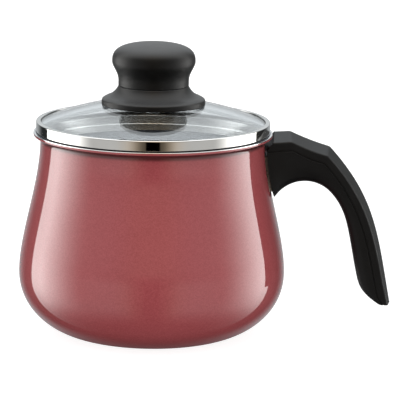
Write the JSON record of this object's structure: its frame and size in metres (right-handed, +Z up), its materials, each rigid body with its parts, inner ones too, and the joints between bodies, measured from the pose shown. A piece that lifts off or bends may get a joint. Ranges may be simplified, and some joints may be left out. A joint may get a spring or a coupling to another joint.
{
  "type": "saucepan with glass lid",
  "caption": "Bellied enamelled saucepan with a turned-out rim, a faceted down-curved side handle and a steel-banded glass lid with a mushroom knob.",
  "frame": {"origin": "centre of the flat foot, on the pan's axis, in the plane the pan stands on", "axes": "+Z up along the pan's axis, +X towards the handle"},
  "size_m": [0.2274, 0.162, 0.1778],
  "materials": {
    "red_coat": "gloss coat with a fine metallic sparkle; grey non-stick inside, bare aluminium foot",
    "steel": "polished stainless steel",
    "aluminium": "satin",
    "handle_black": "matt moulded phenolic",
    "knob_black": "matt moulded phenolic",
    "glass": "clear tempered glass",
    "brass": "turned",
    "silicone": "translucent silicone"
  },
  "bodies": {
    "pan": {"pan_body": "red_coat", "handle_bracket": "steel", "bracket_rivets": "aluminium", "bracket_nut": "steel", "handle_body": "handle_black", "handle_cover": "handle_black", "handle_screw": "steel", "handle_washer": "steel"},
    "lid": {"lid_glass": "glass", "lid_band": "steel", "vent_eyelet": "steel", "knob_base": "knob_black", "knob_cap": "knob_black", "knob_insert": "brass", "knob_screw": "steel", "knob_washer": "steel", "knob_lower_gasket": "silicone", "knob_upper_gasket": "silicone"}
  },
  "joints": [
    {"name": "lid_lift", "type": "slide", "parent": "pan", "child": "lid", "axis": [0, 0, 1], "range_m": [0, 0.06]}
  ]
}
